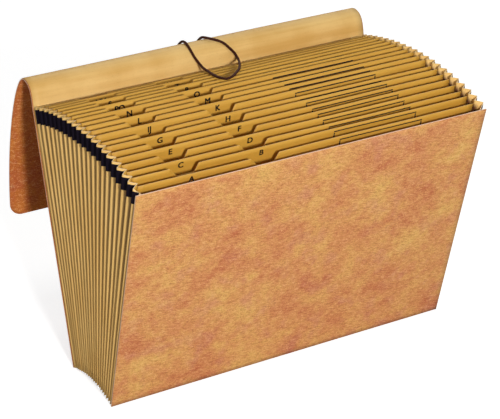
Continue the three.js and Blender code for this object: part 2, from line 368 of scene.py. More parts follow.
def make_tape():
    finish = Finish("cloth_tape")
    values = {"Vector": finish.place(), "Scale": WEAVE_SCALE}
    across, upward = (
        finish.node("ShaderNodeTexWave", {"bands_direction": way}, values) for way in "YZ"
    )
    weave = across * 0.5 + upward * 0.5
    base = finish.mix(weave, ink(11, 6, 16), ink(24, 16, 30))
    finish.set(Base_Color=base, Roughness=0.8, Specular_IOR_Level=0.1)
    finish.set(Normal=finish.bump(weave, 0.00008, 0.6))
    return finish.material


def make_elastic():
    finish = Finish("spun_elastic")
    spot = finish.node("ShaderNodeTexCoord", output=2)
    turns = finish.node("ShaderNodeMapping", None, {0: spot, "Scale": (3, THREAD_TURNS, 1)})
    diagonal = {"bands_direction": "DIAGONAL"}
    thread = finish.node("ShaderNodeTexWave", diagonal, {"Vector": turns, "Scale": 0.6})
    base = finish.mix(thread, ink(34, 12, 6), ink(72, 32, 16))
    finish.set(Base_Color=base, Roughness=0.75, Specular_IOR_Level=0.15)
    finish.set(Normal=finish.bump(thread, 0.0002, 0.7))
    return finish.material


def make_ink(name, colour):
    finish = Finish(name)
    worn = finish.noise(finish.place(), scale=1800, detail=2, roughness=0.6)
    faded = ink(*(value + 40 for value in colour))
    base = finish.mix(finish.ramp(worn, 0.55, 0.8) * 0.35, ink(*colour), faded)
    finish.set(Base_Color=base, Roughness=0.7)
    return finish.material


cloth_tape = make_tape()
spun_elastic = make_elastic()
letter_ink = make_ink("letter_ink", (30, 14, 6))
rule_ink = make_ink("rule_ink", (30, 14, 4))
print("made", cloth_tape.name, spun_elastic.name, letter_ink.name, rule_ink.name)

# %% [markdown]
# ## Paper as a solid
# A sheet of paper is two grids of points, one for each face, a paper's thickness apart, joined
# round the rim. A Solidify modifier could thicken a single grid, but the ink has to know exactly
# where the printed face lies, so both are worked out. One function takes the two grids and closes
# them. The rim's faces get a second material, so that a cut edge can look cut. Faces are wound
# outwards by looking at the volume.

# %% Objects and repainting
def add_object(name, mesh, *materials):
    piece = bpy.data.objects.new(name, mesh)
    bpy.context.scene.collection.objects.link(piece)
    for material in materials:
        mesh.materials.append(material)
    return piece


def repaint(piece, material, wanted):
    """Gives another finish to the faces whose centre passes a test."""
    piece.data.materials.append(material)
    slot = len(piece.data.materials) - 1
    for polygon in piece.data.polygons:
        if wanted(polygon):
            polygon.material_index = slot


# %% Closing a sheet
def closed_sheet(name, front, back, face_material, rim_material):
    """front and back: rows of columns of points, numpy arrays of shape (rows, columns, 3)."""
    rows, columns = front.shape[:2]
    layer = rows * columns
    points = np.concatenate([front.reshape(-1, 3), back.reshape(-1, 3)])
    at = np.arange(layer).reshape(rows, columns)
    sides = np.stack([at[:-1, :-1], at[:-1, 1:], at[1:, 1:], at[1:, :-1]], axis=-1).reshape(-1, 4)
    rim_loop = np.concatenate([at[0, :], at[1:, -1], at[-1, -2::-1], at[-2:0:-1, 0]])
    ahead = np.roll(rim_loop, -1)
    rim = np.stack([ahead, rim_loop, rim_loop + layer, ahead + layer], axis=-1)
    faces = np.concatenate([sides, sides[:, ::-1] + layer, rim])
    corner = points[faces]
    volume = np.einsum("ij,ij->", corner[:, 0], np.cross(corner[:, 1], corner[:, 2]))
    volume += np.einsum("ij,ij->", corner[:, 0], np.cross(corner[:, 2], corner[:, 3]))
    if volume < 0:
        faces = faces[:, ::-1]
    mesh = bpy.data.meshes.new(name)
    mesh.from_pydata(points.tolist(), [], faces.tolist())
    piece = add_object(name, mesh, face_material, rim_material)
    inks = np.zeros(len(faces), dtype=np.int32)
    inks[2 * len(sides):] = 1
    mesh.polygons.foreach_set("material_index", inks)
    mesh.polygons.foreach_set("use_smooth", inks == 0)
    mesh.update()
    return piece


def settle(piece, slot_name, *nodes):
    """Every finished piece rides with the folder and stands for its solids."""
    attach(piece, "root")
    if nodes:
        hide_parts(*nodes)
    return piece


# %% [markdown]
# ## The front cover
# A stiff board, but never perfectly flat: it bellies by half a millimetre. A grid with a slow
# swell is enough, and the grid's rim becomes the pale cut edge that the photograph shows along
# the top. The board could be a plain box, but then no light would change across it.

# %% Front cover
BOARD_SWELL = 0.5 * MM
COVER_COLUMNS = 61
COVER_ROWS = 45


def board_swell(x, height):
    """How far a cover's board bellies out, in metres."""
    across = math.cos(math.pi * x / COVER_WIDTH)
    up = math.sin(math.pi * height / FRONT_HEIGHT)
    return BOARD_SWELL * across * up


def make_front_cover():
    columns = np.linspace(-0.5, 0.5, COVER_COLUMNS) * COVER_WIDTH
    heights = np.linspace(0, 1, COVER_ROWS) * FRONT_HEIGHT

    def face(behind):
        return np.array([
            [fan_point(x, 0, height, behind - board_swell(x, height)) for x in columns]
            for height in heights
        ])

    cover = closed_sheet("front_board", face(-GAP - BOARD), face(-GAP), fibre_board, board_edge)
    return settle(cover, "red_fibre_board", "front_cover")


front_board = make_front_cover()
print("front cover:", len(front_board.data.polygons), "faces")

# %% [markdown]
# ## The dividers
# Twenty sheets part the pockets. Each has one finger notch, a trapezium whose floor lies a little
# to the right, which lets the letter on the sheet behind show: odd sheets have it in the right
# column and even ones in the left. A Boolean could cut the notch, but it would leave long thin
# faces in paper that bends. Instead the columns of each grid are crowded round the notch, so the
# same rows can follow its outline. The sheets slip a little up or down in their folds, and paper
# this size is never flat, so each has its own rise and its own slow wave.

# %% Divider shape
LETTERS = [
    "A", "B", "C", "D", "E", "F", "G", "H", "IJ", "K", "L",
    "M", "N", "O", "PQ", "R", "S", "T", "UV", "W", "XYZ",
]
DIVIDER_TOP = COVER_HEIGHT - 3 * MM
DIVIDER_FOOT = 8.3 * MM
DIVIDER_HALF = 182.9 * MM
RIGHT_SLIT = 0.9 * MM
NOTCH_TOP_HALF = 15 * MM
NOTCH_FLOOR_HALF = 9 * MM
NOTCH_FLOOR_SHIFT = 2 * MM
NOTCH_DEPTH = 9.5 * MM
NOTCH_SOFTNESS = 0.4 * MM
LEFT_COLUMN = -130.5 * MM
RIGHT_COLUMN = -52 * MM
SHEET_RISES = [
    -1.2, 0.2, -1.0, -0.5, 0.3, 0.3, 1.1, -0.3, 2.4, 2.6, 3.0,
    2.8, 3.4, 3.1, 3.2, 3.0, 3.2, 2.9, 2.8, 2.3, 0.0,
]


def sheet_rise(number):
    """How far a sheet has slipped up out of the fan's even curve, in metres."""
    return SHEET_RISES[number - 1] * MM


def notch_centre(number):
    return RIGHT_COLUMN if number % 2 == 1 else LEFT_COLUMN


def soft_step(value, low, high, softness):
    """A straight ramp from 1 at low to 0 at high, with its two corners rounded."""
    def ease(distance):
        return (distance + math.sqrt(distance * distance + softness * softness)) / 2
    return (ease(high - value) - ease(low - value)) / (high - low)


def notch_drop(x, number):
    aside = x - notch_centre(number)
    floor_half = NOTCH_FLOOR_HALF + math.copysign(NOTCH_FLOOR_SHIFT, aside)
    return NOTCH_DEPTH * soft_step(abs(aside), floor_half, NOTCH_TOP_HALF, NOTCH_SOFTNESS)


print("the notch is", round(notch_drop(RIGHT_COLUMN, 1) / MM, 2), "mm deep on its centre line")

# %% Waves of the paper
SHEET_SEED = 11
LONG_SWAY = 0.55 * MM
LONG_RATE = 5.1
SHORT_SWAY = 0.3 * MM
SHORT_RATE = 11.3
EVEN_SWAY = 0.4 * MM
sheet_waves = np.random.default_rng(SHEET_SEED).uniform(0, 2 * math.pi, (POCKETS + 1, 3))


def sheet_wave(number, x, height):
    """How far a divider's paper sways from its plane: nothing at the foot, most at the free edge.

    A wave's rate is how many radians it turns across the folder's width.
    """
    first, second, third = sheet_waves[number]
    across = x / COVER_WIDTH
    loose = (height / COVER_HEIGHT) ** 2 * math.cos(math.pi * across)
    sway = LONG_SWAY * math.sin(LONG_RATE * across + first)
    sway += SHORT_SWAY * math.sin(SHORT_RATE * across + second)
    return loose * (sway + EVEN_SWAY * math.sin(third))


print("the first sheet sways", round(sheet_wave(1, 0, DIVIDER_TOP) / MM, 2), "mm at its middle")

# %% Dividers
NOTCH_REACH = 18 * MM
NOTCH_COLUMNS = 49
FAR_COLUMNS = 57
COLUMN_GAP = 0.5 * MM
DIVIDER_ROWS = [0, 0.25, 0.5, 0.7, 0.82, 0.9, 0.95, 0.98, 1.0]


def make_divider(number):
    middle = notch_centre(number)
    near = middle + np.linspace(-NOTCH_REACH, NOTCH_REACH, NOTCH_COLUMNS)
    far = np.linspace(-DIVIDER_HALF, DIVIDER_HALF - RIGHT_SLIT, FAR_COLUMNS)
    columns = np.sort(np.concatenate([far[np.abs(far - middle) > NOTCH_REACH + COLUMN_GAP], near]))
    sheet = number / POCKETS

    def face(behind):
        grid = []
        for share in DIVIDER_ROWS:
            row = []
            for x in columns:
                top = DIVIDER_TOP + sheet_rise(number) - notch_drop(x, number)
                height = DIVIDER_FOOT + share * (top - DIVIDER_FOOT)
                row.append(fan_point(x, sheet, height, behind + sheet_wave(number, x, height)))
            grid.append(row)
        return np.array(grid)

    letter = LETTERS[number - 1].lower()
    name = f"divider_sheet_{letter}"
    piece = closed_sheet(name, face(-DIVIDER / 2), face(DIVIDER / 2), divider_kraft, paper_edge)
    return settle(piece, "divider_kraft", f"divider_{letter}")


dividers = [make_divider(number) for number in range(1, POCKETS)]
print(len(dividers), "dividers, each of", len(dividers[0].data.polygons), "faces")

# %% [markdown]
# ## The gusset
# One strip of kraft is folded like a concertina and runs down one side, under the pockets and up
# the other. Seen along a fold it is a zigzag: creased ridges that point outwards, and valleys
# where the dividers are glued. Its flanks bulge slightly, since the paper springs back. An Array
# modifier could repeat one fold, but every fold leans its own way. So the zigzag is worked out
# once for each height, pushed out and in by half the paper's thickness, and swept down, along and
# up. At the lower corners each fold turns in a mitre, as deep up as it is in. The strip is glued
# a little lower to the front cover than it stands elsewhere, so its top edge slopes down over the
# last half fold.

# %% Line of pleats
GUSSET_PAPER = 0.4 * MM
GUSSET_TOP = COVER_HEIGHT - 0.5 * MM
FRONT_SLOPE = 4.5 * MM
FLANGE = 10 * MM
MITRE_LIMIT = 1.2 * MM
LEAST_SLANT = 0.05
PLEAT_STEPS = 12
PLEAT_SEED = 5
FLANK_BULGE = 0.2
RIDGE_SLACK = 0.35 * MM
SLACK_RATE = 4
RIDGE_SWAY = 0.06
SWAY_RATE = 5
MOOD_SHIFT = 3
ridge_moods = np.random.default_rng(PLEAT_SEED).uniform(-1, 1, (POCKETS, 4))


def fan_depth(height):
    return BASE_DEPTH + 2 * COVER_LEAN * height


def pleat_line(height):
    """Points of (inset, way back) along the pleats at one height."""
    steps = np.arange(POCKETS * PLEAT_STEPS + 1)
    along = steps % PLEAT_STEPS / PLEAT_STEPS
    zigzag = 1 - np.abs(2 * along - 1)
    outward = (1 - FLANK_BULGE) * zigzag + FLANK_BULGE * np.sin(math.pi * along)
    ridge = np.minimum(steps // PLEAT_STEPS, POCKETS - 1)
    mood = ridge_moods[ridge]
    share = height / COVER_HEIGHT
    slack = RIDGE_SLACK * (1 + mood[:, 0] * np.sin(SLACK_RATE * share + MOOD_SHIFT * mood[:, 1]))
    inset = PLEAT_DEPTH * (1 - outward) + slack * outward
    sway = RIDGE_SWAY * mood[:, 2] * np.sin(SWAY_RATE * share + MOOD_SHIFT * mood[:, 3]) * outward
    back = fan_depth(height) / POCKETS * (steps / PLEAT_STEPS + sway)
    back[0] += GUSSET_PAPER / 2
    back[-1] -= GUSSET_PAPER / 2
    return np.stack([inset, back], axis=1)


def with_flanges(line):
    """Adds the two strips that are glued to the covers."""
    inward = np.array([FLANGE, 0])
    return np.concatenate([[line[0] + inward], line, [line[-1] + inward]])


def pushed(line, distance):
    """The line moved outwards, with mitred corners."""
    step = np.diff(line, axis=0)
    step /= np.linalg.norm(step, axis=1)[:, None]
    into = np.concatenate([step[:1], step])
    away = np.concatenate([step, step[-1:]])
    side = np.stack([-(into + away)[:, 1], (into + away)[:, 0]], axis=1)
    side /= np.linalg.norm(side, axis=1)[:, None]
    slant = np.abs(side[:, 0] * -into[:, 1] + side[:, 1] * into[:, 0])
    reach = np.minimum(abs(distance) / np.maximum(slant, LEAST_SLANT), MITRE_LIMIT) * np.sign(distance)
    return line + side * reach[:, None]


print(POCKETS, "pleats, each", round(fan_depth(GUSSET_TOP) / POCKETS / MM, 1), "mm wide at the top")


# %% Rows of the gusset
def side_row(side, share, distance, line_of):
    """A row of points down a side: share 0 is the mitred corner and 1 the top."""
    reference = GUSSET_TOP * share
    line = pushed(line_of(reference), distance)
    depth = fan_depth(reference)
    half = COVER_WIDTH / 2
    return [
        fan_point(side * (half - inset), back / depth, inset + share * (GUSSET_TOP - inset))
        for inset, back in line
    ]


def bottom_row(across, distance, line_of):
    """A row of points under the pockets: across runs from -1 at the left mitre to 1 at the right."""
    line = pushed(line_of(0), distance)
    return [
        fan_point(across * (COVER_WIDTH / 2 - inset), back / fan_depth(0), inset) for inset, back in line
    ]


def slope_front(grid):
    """Lowers the top edge from the first ridge to the front cover, which is lower than the gusset."""
    ridge = PLEAT_STEPS // 2
    drops = FRONT_SLOPE * np.clip((ridge + 1 - np.arange(grid.shape[1])) / ridge, 0, 1)
    lean = lean_of(0)
    for row in (0, -1):
        grid[row] -= drops[:, None] * np.array([0, math.sin(lean), math.cos(lean)])
    return grid


print("the top edge drops by", round(FRONT_SLOPE / MM, 1), "mm to the front cover")

# %% Gusset
SIDE_ROWS = 25
BOTTOM_ROWS = 21


def mark_folds(piece):
    """Stores how deep in a fold each point lies, which sets the painted shade: 0 on a ridge or the top
    edge, 1 by a divider.
    """
    depth = np.clip(with_flanges(pleat_line(0))[:, 0] / PLEAT_DEPTH, 0, 1)
    grid = np.tile(depth, (len(piece.data.vertices) // (2 * len(depth)), 1))
    grid[[0, -1]] = 0
    mark = piece.data.attributes.new("fold", "FLOAT", "POINT")
    mark.data.foreach_set("value", np.concatenate([grid, grid]).ravel())


def shaded_left_inner_face(polygon):
    """True on the left side's inner faces, which take the darker divider kraft as painted shade."""
    return polygon.material_index == 0 and polygon.center.x < 0 and polygon.normal.x > 0.05


def make_gusset():
    def line(height):
        return with_flanges(pleat_line(height))

    shares = np.linspace(1, 0, SIDE_ROWS)[:-1]
    across = np.linspace(-1, 1, BOTTOM_ROWS)

    def face(distance):
        left = [side_row(-1, share, distance, line) for share in shares]
        under = [bottom_row(place, distance, line) for place in across]
        right = [side_row(1, share, distance, line) for share in shares[::-1]]
        return slope_front(np.array(left + under + right))

    faces = face(GUSSET_PAPER / 2), face(-GUSSET_PAPER / 2)
    piece = closed_sheet("pleated_gusset", *faces, gusset_kraft, gusset_edge)
    mark_folds(piece)
    # Painted shade: the left side's inner faces take the darker divider kraft.
    repaint(piece, divider_kraft, shaded_left_inner_face)
    return settle(piece, "gusset_kraft", "gusset")


gusset = make_gusset()
print("gusset:", len(gusset.data.polygons), "faces")

# %% [markdown]
# ## The gusset's tape
# A strip of black cloth tape binds each side of the gusset just under its top edge, in and out
# of every fold. It is the same line of pleats, pushed out a little further, over a short height.

# %% Tape
TAPE_DROP = 2.5 * MM
TAPE_WIDTH = 14 * MM
TAPE_PAPER = 0.25 * MM
TAPE_CLEARANCE = 0.05 * MM
TAPE_ROWS = 6


def make_tape_strip(side, name, node):
    def line(height):
        return pleat_line(height)[2:-2]

    high = 1 - TAPE_DROP / GUSSET_TOP
    low = high - TAPE_WIDTH / GUSSET_TOP

    def face(distance):
        shares = np.linspace(high, low, TAPE_ROWS)
        return np.array([side_row(side, share, distance, line) for share in shares])

    inner = GUSSET_PAPER / 2 + TAPE_CLEARANCE
    piece = closed_sheet(name, face(inner), face(inner + TAPE_PAPER), cloth_tape, cloth_tape)
    return settle(piece, "black_tape", node)


tapes = [
    make_tape_strip(-1, "tape_left", "gusset_tape_left"),
    make_tape_strip(1, "tape_right", "gusset_tape_right"),
]
print(len(tapes), "tapes,", round(TAPE_WIDTH / MM), "mm wide")

# %% [markdown]
# ## Back cover and flap
# The back board has no hinge: it goes straight on into the flap, which is rolled over backwards.
# A Simple Deform modifier could bend a flat sheet, but only round a circle. Two Bezier curves
# follow the roll better, a tight crest and a long leg that hangs out and down. The board is red
# fibre on its outer face, which is now the inside of the roll, and a pale kraft lining covers the
# face that looks at the pockets and then at the sky.

# %% Walking along a curve
def walked_along(line):
    """The distance from the start of a line of points to each of them."""
    return np.concatenate([[0], np.cumsum(np.linalg.norm(np.diff(line, axis=0), axis=1))])


class Bezier:
    """A cubic curve in the side view, walked by its length."""

    def __init__(self, *points):
        self.points = np.array(points)
        self.fine = np.linspace(0, 1, 400)
        self.walked = walked_along(np.array([self.at(t) for t in self.fine]))
        self.length = self.walked[-1]

    def at(self, t):
        weights = (1 - t) ** 3, 3 * t * (1 - t) ** 2, 3 * t * t * (1 - t), t ** 3
        return np.array(weights) @ self.points

    def heading(self, t):
        p = self.points
        way = (1 - t) ** 2 * (p[1] - p[0]) + 2 * t * (1 - t) * (p[2] - p[1]) + t * t * (p[3] - p[2])
        return way / np.linalg.norm(way)

    def walk(self, distance):
        t = np.interp(distance, self.walked, self.fine)
        return self.at(t), self.heading(t)


# %% Profile of the back cover and flap
CREST_RISE = 22 * MM
CREST_REACH = 18 * MM
LEG_REACH = 54 * MM
LEG_DROP = 172 * MM
FLAP_CORNER = 13 * MM
LINING_MARGIN = 0.8 * MM
LINING_CLEARANCE = 0.05 * MM
BEHIND_FAN = 1.5 * GAP + LINING + BOARD / 2
BOARD_ROWS = 26
CREST_ROWS = 22
LEG_ROWS = 50
CORNER_ROWS = 13

cover_foot = np.array(fan_point(0, 1, 0, BEHIND_FAN))[1:]
cover_top = np.array(fan_point(0, 1, COVER_HEIGHT, BEHIND_FAN))[1:]
crest = Bezier(
    cover_top,
    cover_top + (1.5 * MM, 0.4 * CREST_RISE),
    cover_top + (0.15 * CREST_REACH, CREST_RISE),
    cover_top + (CREST_REACH, CREST_RISE),
)
crest_end = crest.at(1.0)
leg = Bezier(
    crest_end,
    crest_end + (0.37 * LEG_REACH, 0),
    crest_end + (0.99 * LEG_REACH, -0.48 * LEG_DROP),
    crest_end + (LEG_REACH, -LEG_DROP),
)


def flap_rows():
    """Each row of the sheet: its place, its heading and its half width."""
    upward = np.array([math.sin(COVER_LEAN), math.cos(COVER_LEAN)])
    half = COVER_WIDTH / 2
    climb = cover_top - cover_foot
    rows = [(cover_foot + share * climb, upward, half) for share in np.linspace(0, 1, BOARD_ROWS)[:-1]]
    rows += [(*crest.walk(distance), half) for distance in np.linspace(0, crest.length, CREST_ROWS)]
    straight = leg.length - FLAP_CORNER
    rows += [(*leg.walk(distance), half) for distance in np.linspace(0, straight, LEG_ROWS)[1:]]
    for turn in np.linspace(0, math.pi / 2, CORNER_ROWS)[1:]:
        distance = straight + FLAP_CORNER * math.sin(turn)
        rows.append((*leg.walk(distance), half - FLAP_CORNER * (1 - math.cos(turn))))
    return rows


print("roll:", round(crest.length / MM), "mm of crest and", round(leg.length / MM), "mm of leg")

# %% Back cover, flap and lining
FLAP_SEED = 3
FLAP_RIPPLE = 0.45 * MM
RIPPLE_GROWTH = 120 * MM
WIDE_RATE = 2.1 * math.pi
NARROW_RATE = 5.3
DOWN_RATE = 30
FLAP_COLUMNS = 49
flap_moods = np.random.default_rng(FLAP_SEED).uniform(0, 2 * math.pi, 4)


def flap_ripple(x, height):
    """Old paper remembers being rolled: the leg ripples by a fraction of a millimetre.

    The ripple grows from the fold on, and has its full size RIPPLE_GROWTH further along the paper.
    """
    free = min(1.0, max(0.0, (height - COVER_HEIGHT) / RIPPLE_GROWTH))
    first, second, third, fourth = flap_moods
    across = x / COVER_WIDTH
    ripple = math.sin(WIDE_RATE * across + first) + 0.5 * math.sin(NARROW_RATE * across + second)
    return FLAP_RIPPLE * free * (ripple + 0.5 * math.sin(DOWN_RATE * height + third) * math.cos(fourth))


def flap_face(distance, margin):
    across = np.linspace(-1, 1, FLAP_COLUMNS)
    grid = []
    height = 0.0
    before = cover_foot
    for place, heading, half in flap_rows():
        height += float(np.linalg.norm(place - before))
        before = place
        side = np.array([-heading[1], heading[0]])
        row = []
        for share in across:
            x = share * (half - margin)
            y, z = place + side * (distance + flap_ripple(x, height))
            row.append((x, y, z))
        grid.append(row)
    return np.array(grid)


def make_flap():
    faces = flap_face(-BOARD / 2, 0), flap_face(BOARD / 2, 0)
    board = closed_sheet("back_board_flap", *faces, back_fibre_board, board_edge)
    inner = BOARD / 2 + LINING_CLEARANCE
    faces = flap_face(inner, LINING_MARGIN), flap_face(inner + LINING, LINING_MARGIN)
    lining = closed_sheet("kraft_inner", *faces, lining_kraft, paper_edge)
    return board, lining


back_board, lining = make_flap()
print("back cover and flap:", len(back_board.data.polygons), "faces; lining:", len(lining.data.polygons))

# %% [markdown]
# ## Holes for the elastic
# The loop comes through two punched holes near the flap's free edge. They could be left out of
# the mesh, or drawn as dark spots, but a hole should be open to the light. A Boolean modifier
# cuts them with two pins, and the result is kept as a plain mesh.

# %% Cut the cord holes
HOLE_XS = (-14 * MM, 9 * MM)
HOLE_Y = 180 * MM + SHIFT_Y
HOLE_Z = 138 * MM + SHIFT_Z
HOLE_RADIUS = 1.9 * MM
PIN_LENGTH = 30 * MM
PIN_SIDES = 32


def baked(piece):
    """The piece with its modifiers worked out, as a plain mesh on the same object."""
    graph = bpy.context.evaluated_depsgraph_get()
    mesh = bpy.data.meshes.new_from_object(piece.evaluated_get(graph))
    piece.modifiers.clear()
    old = piece.data
    piece.data = mesh
    bpy.data.meshes.remove(old)
    return piece


def punch(piece):
    cutter_mesh = bpy.data.meshes.new("punch")
    shape = bmesh.new()
    for x in HOLE_XS:
        size = {"radius1": HOLE_RADIUS, "radius2": HOLE_RADIUS, "depth": PIN_LENGTH}
        made = bmesh.ops.create_cone(shape, cap_ends=True, segments=PIN_SIDES, **size)
        for vertex in made["verts"]:
            across, along, up = vertex.co
            vertex.co = (across + x, up + HOLE_Y, along + HOLE_Z)
    bmesh.ops.recalc_face_normals(shape, faces=shape.faces)
    shape.to_mesh(cutter_mesh)
    shape.free()
    cutter = add_object("punch", cutter_mesh, board_edge)
    cut = piece.modifiers.new("holes", "BOOLEAN")
    cut.operation = "DIFFERENCE"
    cut.solver = "EXACT"
    cut.object = cutter
    baked(piece)
    bpy.data.objects.remove(cutter)
    return piece


settle(punch(back_board), "red_fibre_board", "back_cover_flap")
settle(punch(lining), "kraft_lining", "flap_lining")
print("holes at", [round(x / MM) for x in HOLE_XS], "mm across")

# %% [markdown]
# ## Printed letters
# Each sheet carries its letter in the column where the sheet in front is notched. A picture of
# the type could be printed on, but outlines stay sharp however close the camera comes. A text
# object makes them, a hair thick so that they are solid, and each point is then laid on its paper
# with the same function that bent the paper, so no letter sinks in or floats. The type on the
# photograph is bold, so each letter is struck six times, a fraction of a millimetre apart.

# %% Letters
LETTER_DOWN = 6.4 * MM
LETTER_ASIDE = 2.5 * MM
LETTER_HEIGHT = 5.8 * MM
LETTER_STRIKES = [(aside * MM, up * MM) for aside in (-0.3, 0, 0.3) for up in (-0.2, 0.2)]
CAP_SHARE = 0.7
INK_RISE = 0.04 * MM
INK_DEPTH = 0.02 * MM


def sheet_front(number, x, height):
    """The printed face of a sheet, which looks at the front cover. The last sheet is the lining."""
    if number == POCKETS:
        behind = BEHIND_FAN - BOARD / 2 - LINING_CLEARANCE - LINING
        return fan_point(x, 1, height, behind - INK_RISE)
    wave = sheet_wave(number, x, height)
    return fan_point(x, number / POCKETS, height, wave - DIVIDER / 2 - INK_RISE)


def letter_points(text):
    curve = bpy.data.curves.new("letter", "FONT")
    curve.body = text
    curve.align_x = "CENTER"
    curve.align_y = "CENTER"
    curve.size = LETTER_HEIGHT / CAP_SHARE
    curve.extrude = INK_DEPTH / 2
    curve.resolution_u = 4
    sample = bpy.data.objects.new("letter", curve)
    bpy.context.scene.collection.objects.link(sample)
    graph = bpy.context.evaluated_depsgraph_get()
    mesh = bpy.data.meshes.new_from_object(sample.evaluated_get(graph))
    bpy.data.objects.remove(sample)
    shape = bmesh.new()
    shape.from_mesh(mesh)
    bmesh.ops.remove_doubles(shape, verts=shape.verts, dist=1e-6)
    shape.to_mesh(mesh)
    shape.free()
    return mesh


def make_letters():
    shape = bmesh.new()
    for number, text in enumerate(LETTERS, start=1):
        centre = LEFT_COLUMN if number % 2 == 1 else RIGHT_COLUMN
        lean = lean_of(number / POCKETS)
        outward = Vector((0, -math.cos(lean), math.sin(lean)))
        for aside, aloft in LETTER_STRIKES:
            mesh = letter_points(text)
            start = len(shape.verts)
            shape.from_mesh(mesh)
            shape.verts.ensure_lookup_table()
            for vertex in shape.verts[start:]:
                across, up, out = vertex.co
                x = centre + LETTER_ASIDE + across + aside
                height = DIVIDER_TOP + sheet_rise(number) - LETTER_DOWN + up + aloft
                vertex.co = sheet_front(number, x, height) + outward * out
            bpy.data.meshes.remove(mesh)
    bmesh.ops.recalc_face_normals(shape, faces=shape.faces)
    mesh = bpy.data.meshes.new("index_letters")
    shape.to_mesh(mesh)
    shape.free()
    return settle(add_object("index_letters", mesh, letter_ink), "black_tape")


letters = make_letters()
print(len(LETTERS), "letters of", len(letters.data.polygons), "faces")

# %% [markdown]
# ## Ruled boxes
# The right half of every sheet has a ruled frame for notes, and only its top shows. The same
# frame is repeated on every sheet, so Geometry Nodes place it: one point for each sheet, which
# carries its lean as an attribute, and one small frame that is set on each point and turned.
# Afterwards the points are pressed on to the waves of their sheets.

# %% One ruled frame
RULE_WIDTH = 1.3 * MM
BOX_WIDTH = 93 * MM
BOX_DEPTH = 34 * MM
BOX_X = 76.5 * MM
BOX_DOWN = 3.1 * MM
RULE_STEPS = 24


def add_rule(shape, low, high):
    """A strip from one corner to the other, cut into short pieces along its longer way."""
    long_way = 0 if high[0] - low[0] > high[1] - low[1] else 1
    cuts = np.linspace(low[long_way], high[long_way], RULE_STEPS + 1)
    rings = []
    for cut in cuts:
        ring = []
        for side, out in ((0, 0), (1, 0), (1, 1), (0, 1)):
            place = [0.0, 0.0, INK_DEPTH * (out - 0.5)]
            place[long_way] = cut
            place[1 - long_way] = (low, high)[side][1 - long_way]
            ring.append(shape.verts.new(place))
        rings.append(ring)
    for first, second in zip(rings, rings[1:]):
        for k in range(4):
            shape.faces.new((first[k], first[(k + 1) % 4], second[(k + 1) % 4], second[k]))
    shape.faces.new(rings[0][::-1])
    shape.faces.new(rings[-1])


def make_frame_mesh():
    shape = bmesh.new()
    half = BOX_WIDTH / 2
    add_rule(shape, (-half, -RULE_WIDTH), (half, 0))
    add_rule(shape, (-half, -BOX_DEPTH), (-half + RULE_WIDTH, -RULE_WIDTH * 1.5))
    add_rule(shape, (half - RULE_WIDTH, -BOX_DEPTH), (half, -RULE_WIDTH * 1.5))
    bmesh.ops.recalc_face_normals(shape, faces=shape.faces)
    mesh = bpy.data.meshes.new("ruled_frame")
    shape.to_mesh(mesh)
    shape.free()
    return mesh


ruled_frame = add_object("ruled_frame", make_frame_mesh())
print("one frame:", len(ruled_frame.data.polygons), "faces")


# %% Place the frames with Geometry Nodes
def frame_tree():
    tree = bpy.data.node_groups.new("place_frames", "GeometryNodeTree")
    interface = tree.interface
    interface.new_socket("Geometry", in_out="INPUT", socket_type="NodeSocketGeometry")
    interface.new_socket("Frame", in_out="INPUT", socket_type="NodeSocketObject")
    interface.new_socket("Ink", in_out="INPUT", socket_type="NodeSocketMaterial")
    interface.new_socket("Geometry", in_out="OUTPUT", socket_type="NodeSocketGeometry")
    entry = tree.nodes.new("NodeGroupInput")
    leave = tree.nodes.new("NodeGroupOutput")
    model = tree.nodes.new("GeometryNodeObjectInfo")
    lean = tree.nodes.new("GeometryNodeInputNamedAttribute")
    lean.data_type = "FLOAT_VECTOR"
    lean.inputs["Name"].default_value = "lean"
    place = tree.nodes.new("GeometryNodeInstanceOnPoints")
    whole = tree.nodes.new("GeometryNodeRealizeInstances")
    paint = tree.nodes.new("GeometryNodeSetMaterial")
    link = tree.links.new
    link(entry.outputs["Frame"], model.inputs["Object"])
    link(entry.outputs["Geometry"], place.inputs["Points"])
    link(model.outputs["Geometry"], place.inputs["Instance"])
    link(lean.outputs["Attribute"], place.inputs["Rotation"])
    link(place.outputs["Instances"], whole.inputs["Geometry"])
    link(whole.outputs["Geometry"], paint.inputs["Geometry"])
    link(entry.outputs["Ink"], paint.inputs["Material"])
    link(paint.outputs["Geometry"], leave.inputs["Geometry"])
    return tree


def make_ruled_boxes():
    numbers = range(1, POCKETS + 1)
    starts = []
    for number in numbers:
        height = DIVIDER_TOP + sheet_rise(number) - BOX_DOWN
        starts.append(fan_point(BOX_X, number / POCKETS, height))
    mesh = bpy.data.meshes.new("ruled_boxes")
    mesh.from_pydata([tuple(start) for start in starts], [], [])
    turns = mesh.attributes.new("lean", "FLOAT_VECTOR", "POINT")
    upright = [(math.pi / 2 - lean_of(number / POCKETS), 0, 0) for number in numbers]
    turns.data.foreach_set("vector", np.array(upright).ravel())
    piece = add_object("ruled_boxes", mesh)
    tree = frame_tree()
    modifier = piece.modifiers.new("frames", "NODES")
    modifier.node_group = tree
    sockets = {item.name: item.identifier for item in tree.interface.items_tree if item.in_out == "INPUT"}
    modifier[sockets["Frame"]] = ruled_frame
    modifier[sockets["Ink"]] = rule_ink
    return baked(piece)


def press_on_sheets(piece):
    """Moves each frame from its sheet's plane on to the paper."""
    per_frame = len(piece.data.vertices) // POCKETS
    for index, vertex in enumerate(piece.data.vertices):
        number = index // per_frame + 1
        lean = lean_of(number / POCKETS)
        upward = Vector((0, math.sin(lean), math.cos(lean)))
        outward = Vector((0, -math.cos(lean), math.sin(lean)))
        foot = fan_point(vertex.co.x, number / POCKETS, 0, 0)
        height = (vertex.co - foot).dot(upward)
        out = (vertex.co - foot).dot(outward)
        vertex.co = sheet_front(number, vertex.co.x, height) + outward * out
    return piece


ruled_boxes = settle(press_on_sheets(make_ruled_boxes()), "divider_kraft")
bpy.data.objects.remove(ruled_frame)
print("ruled boxes:", len(ruled_boxes.data.polygons), "faces")

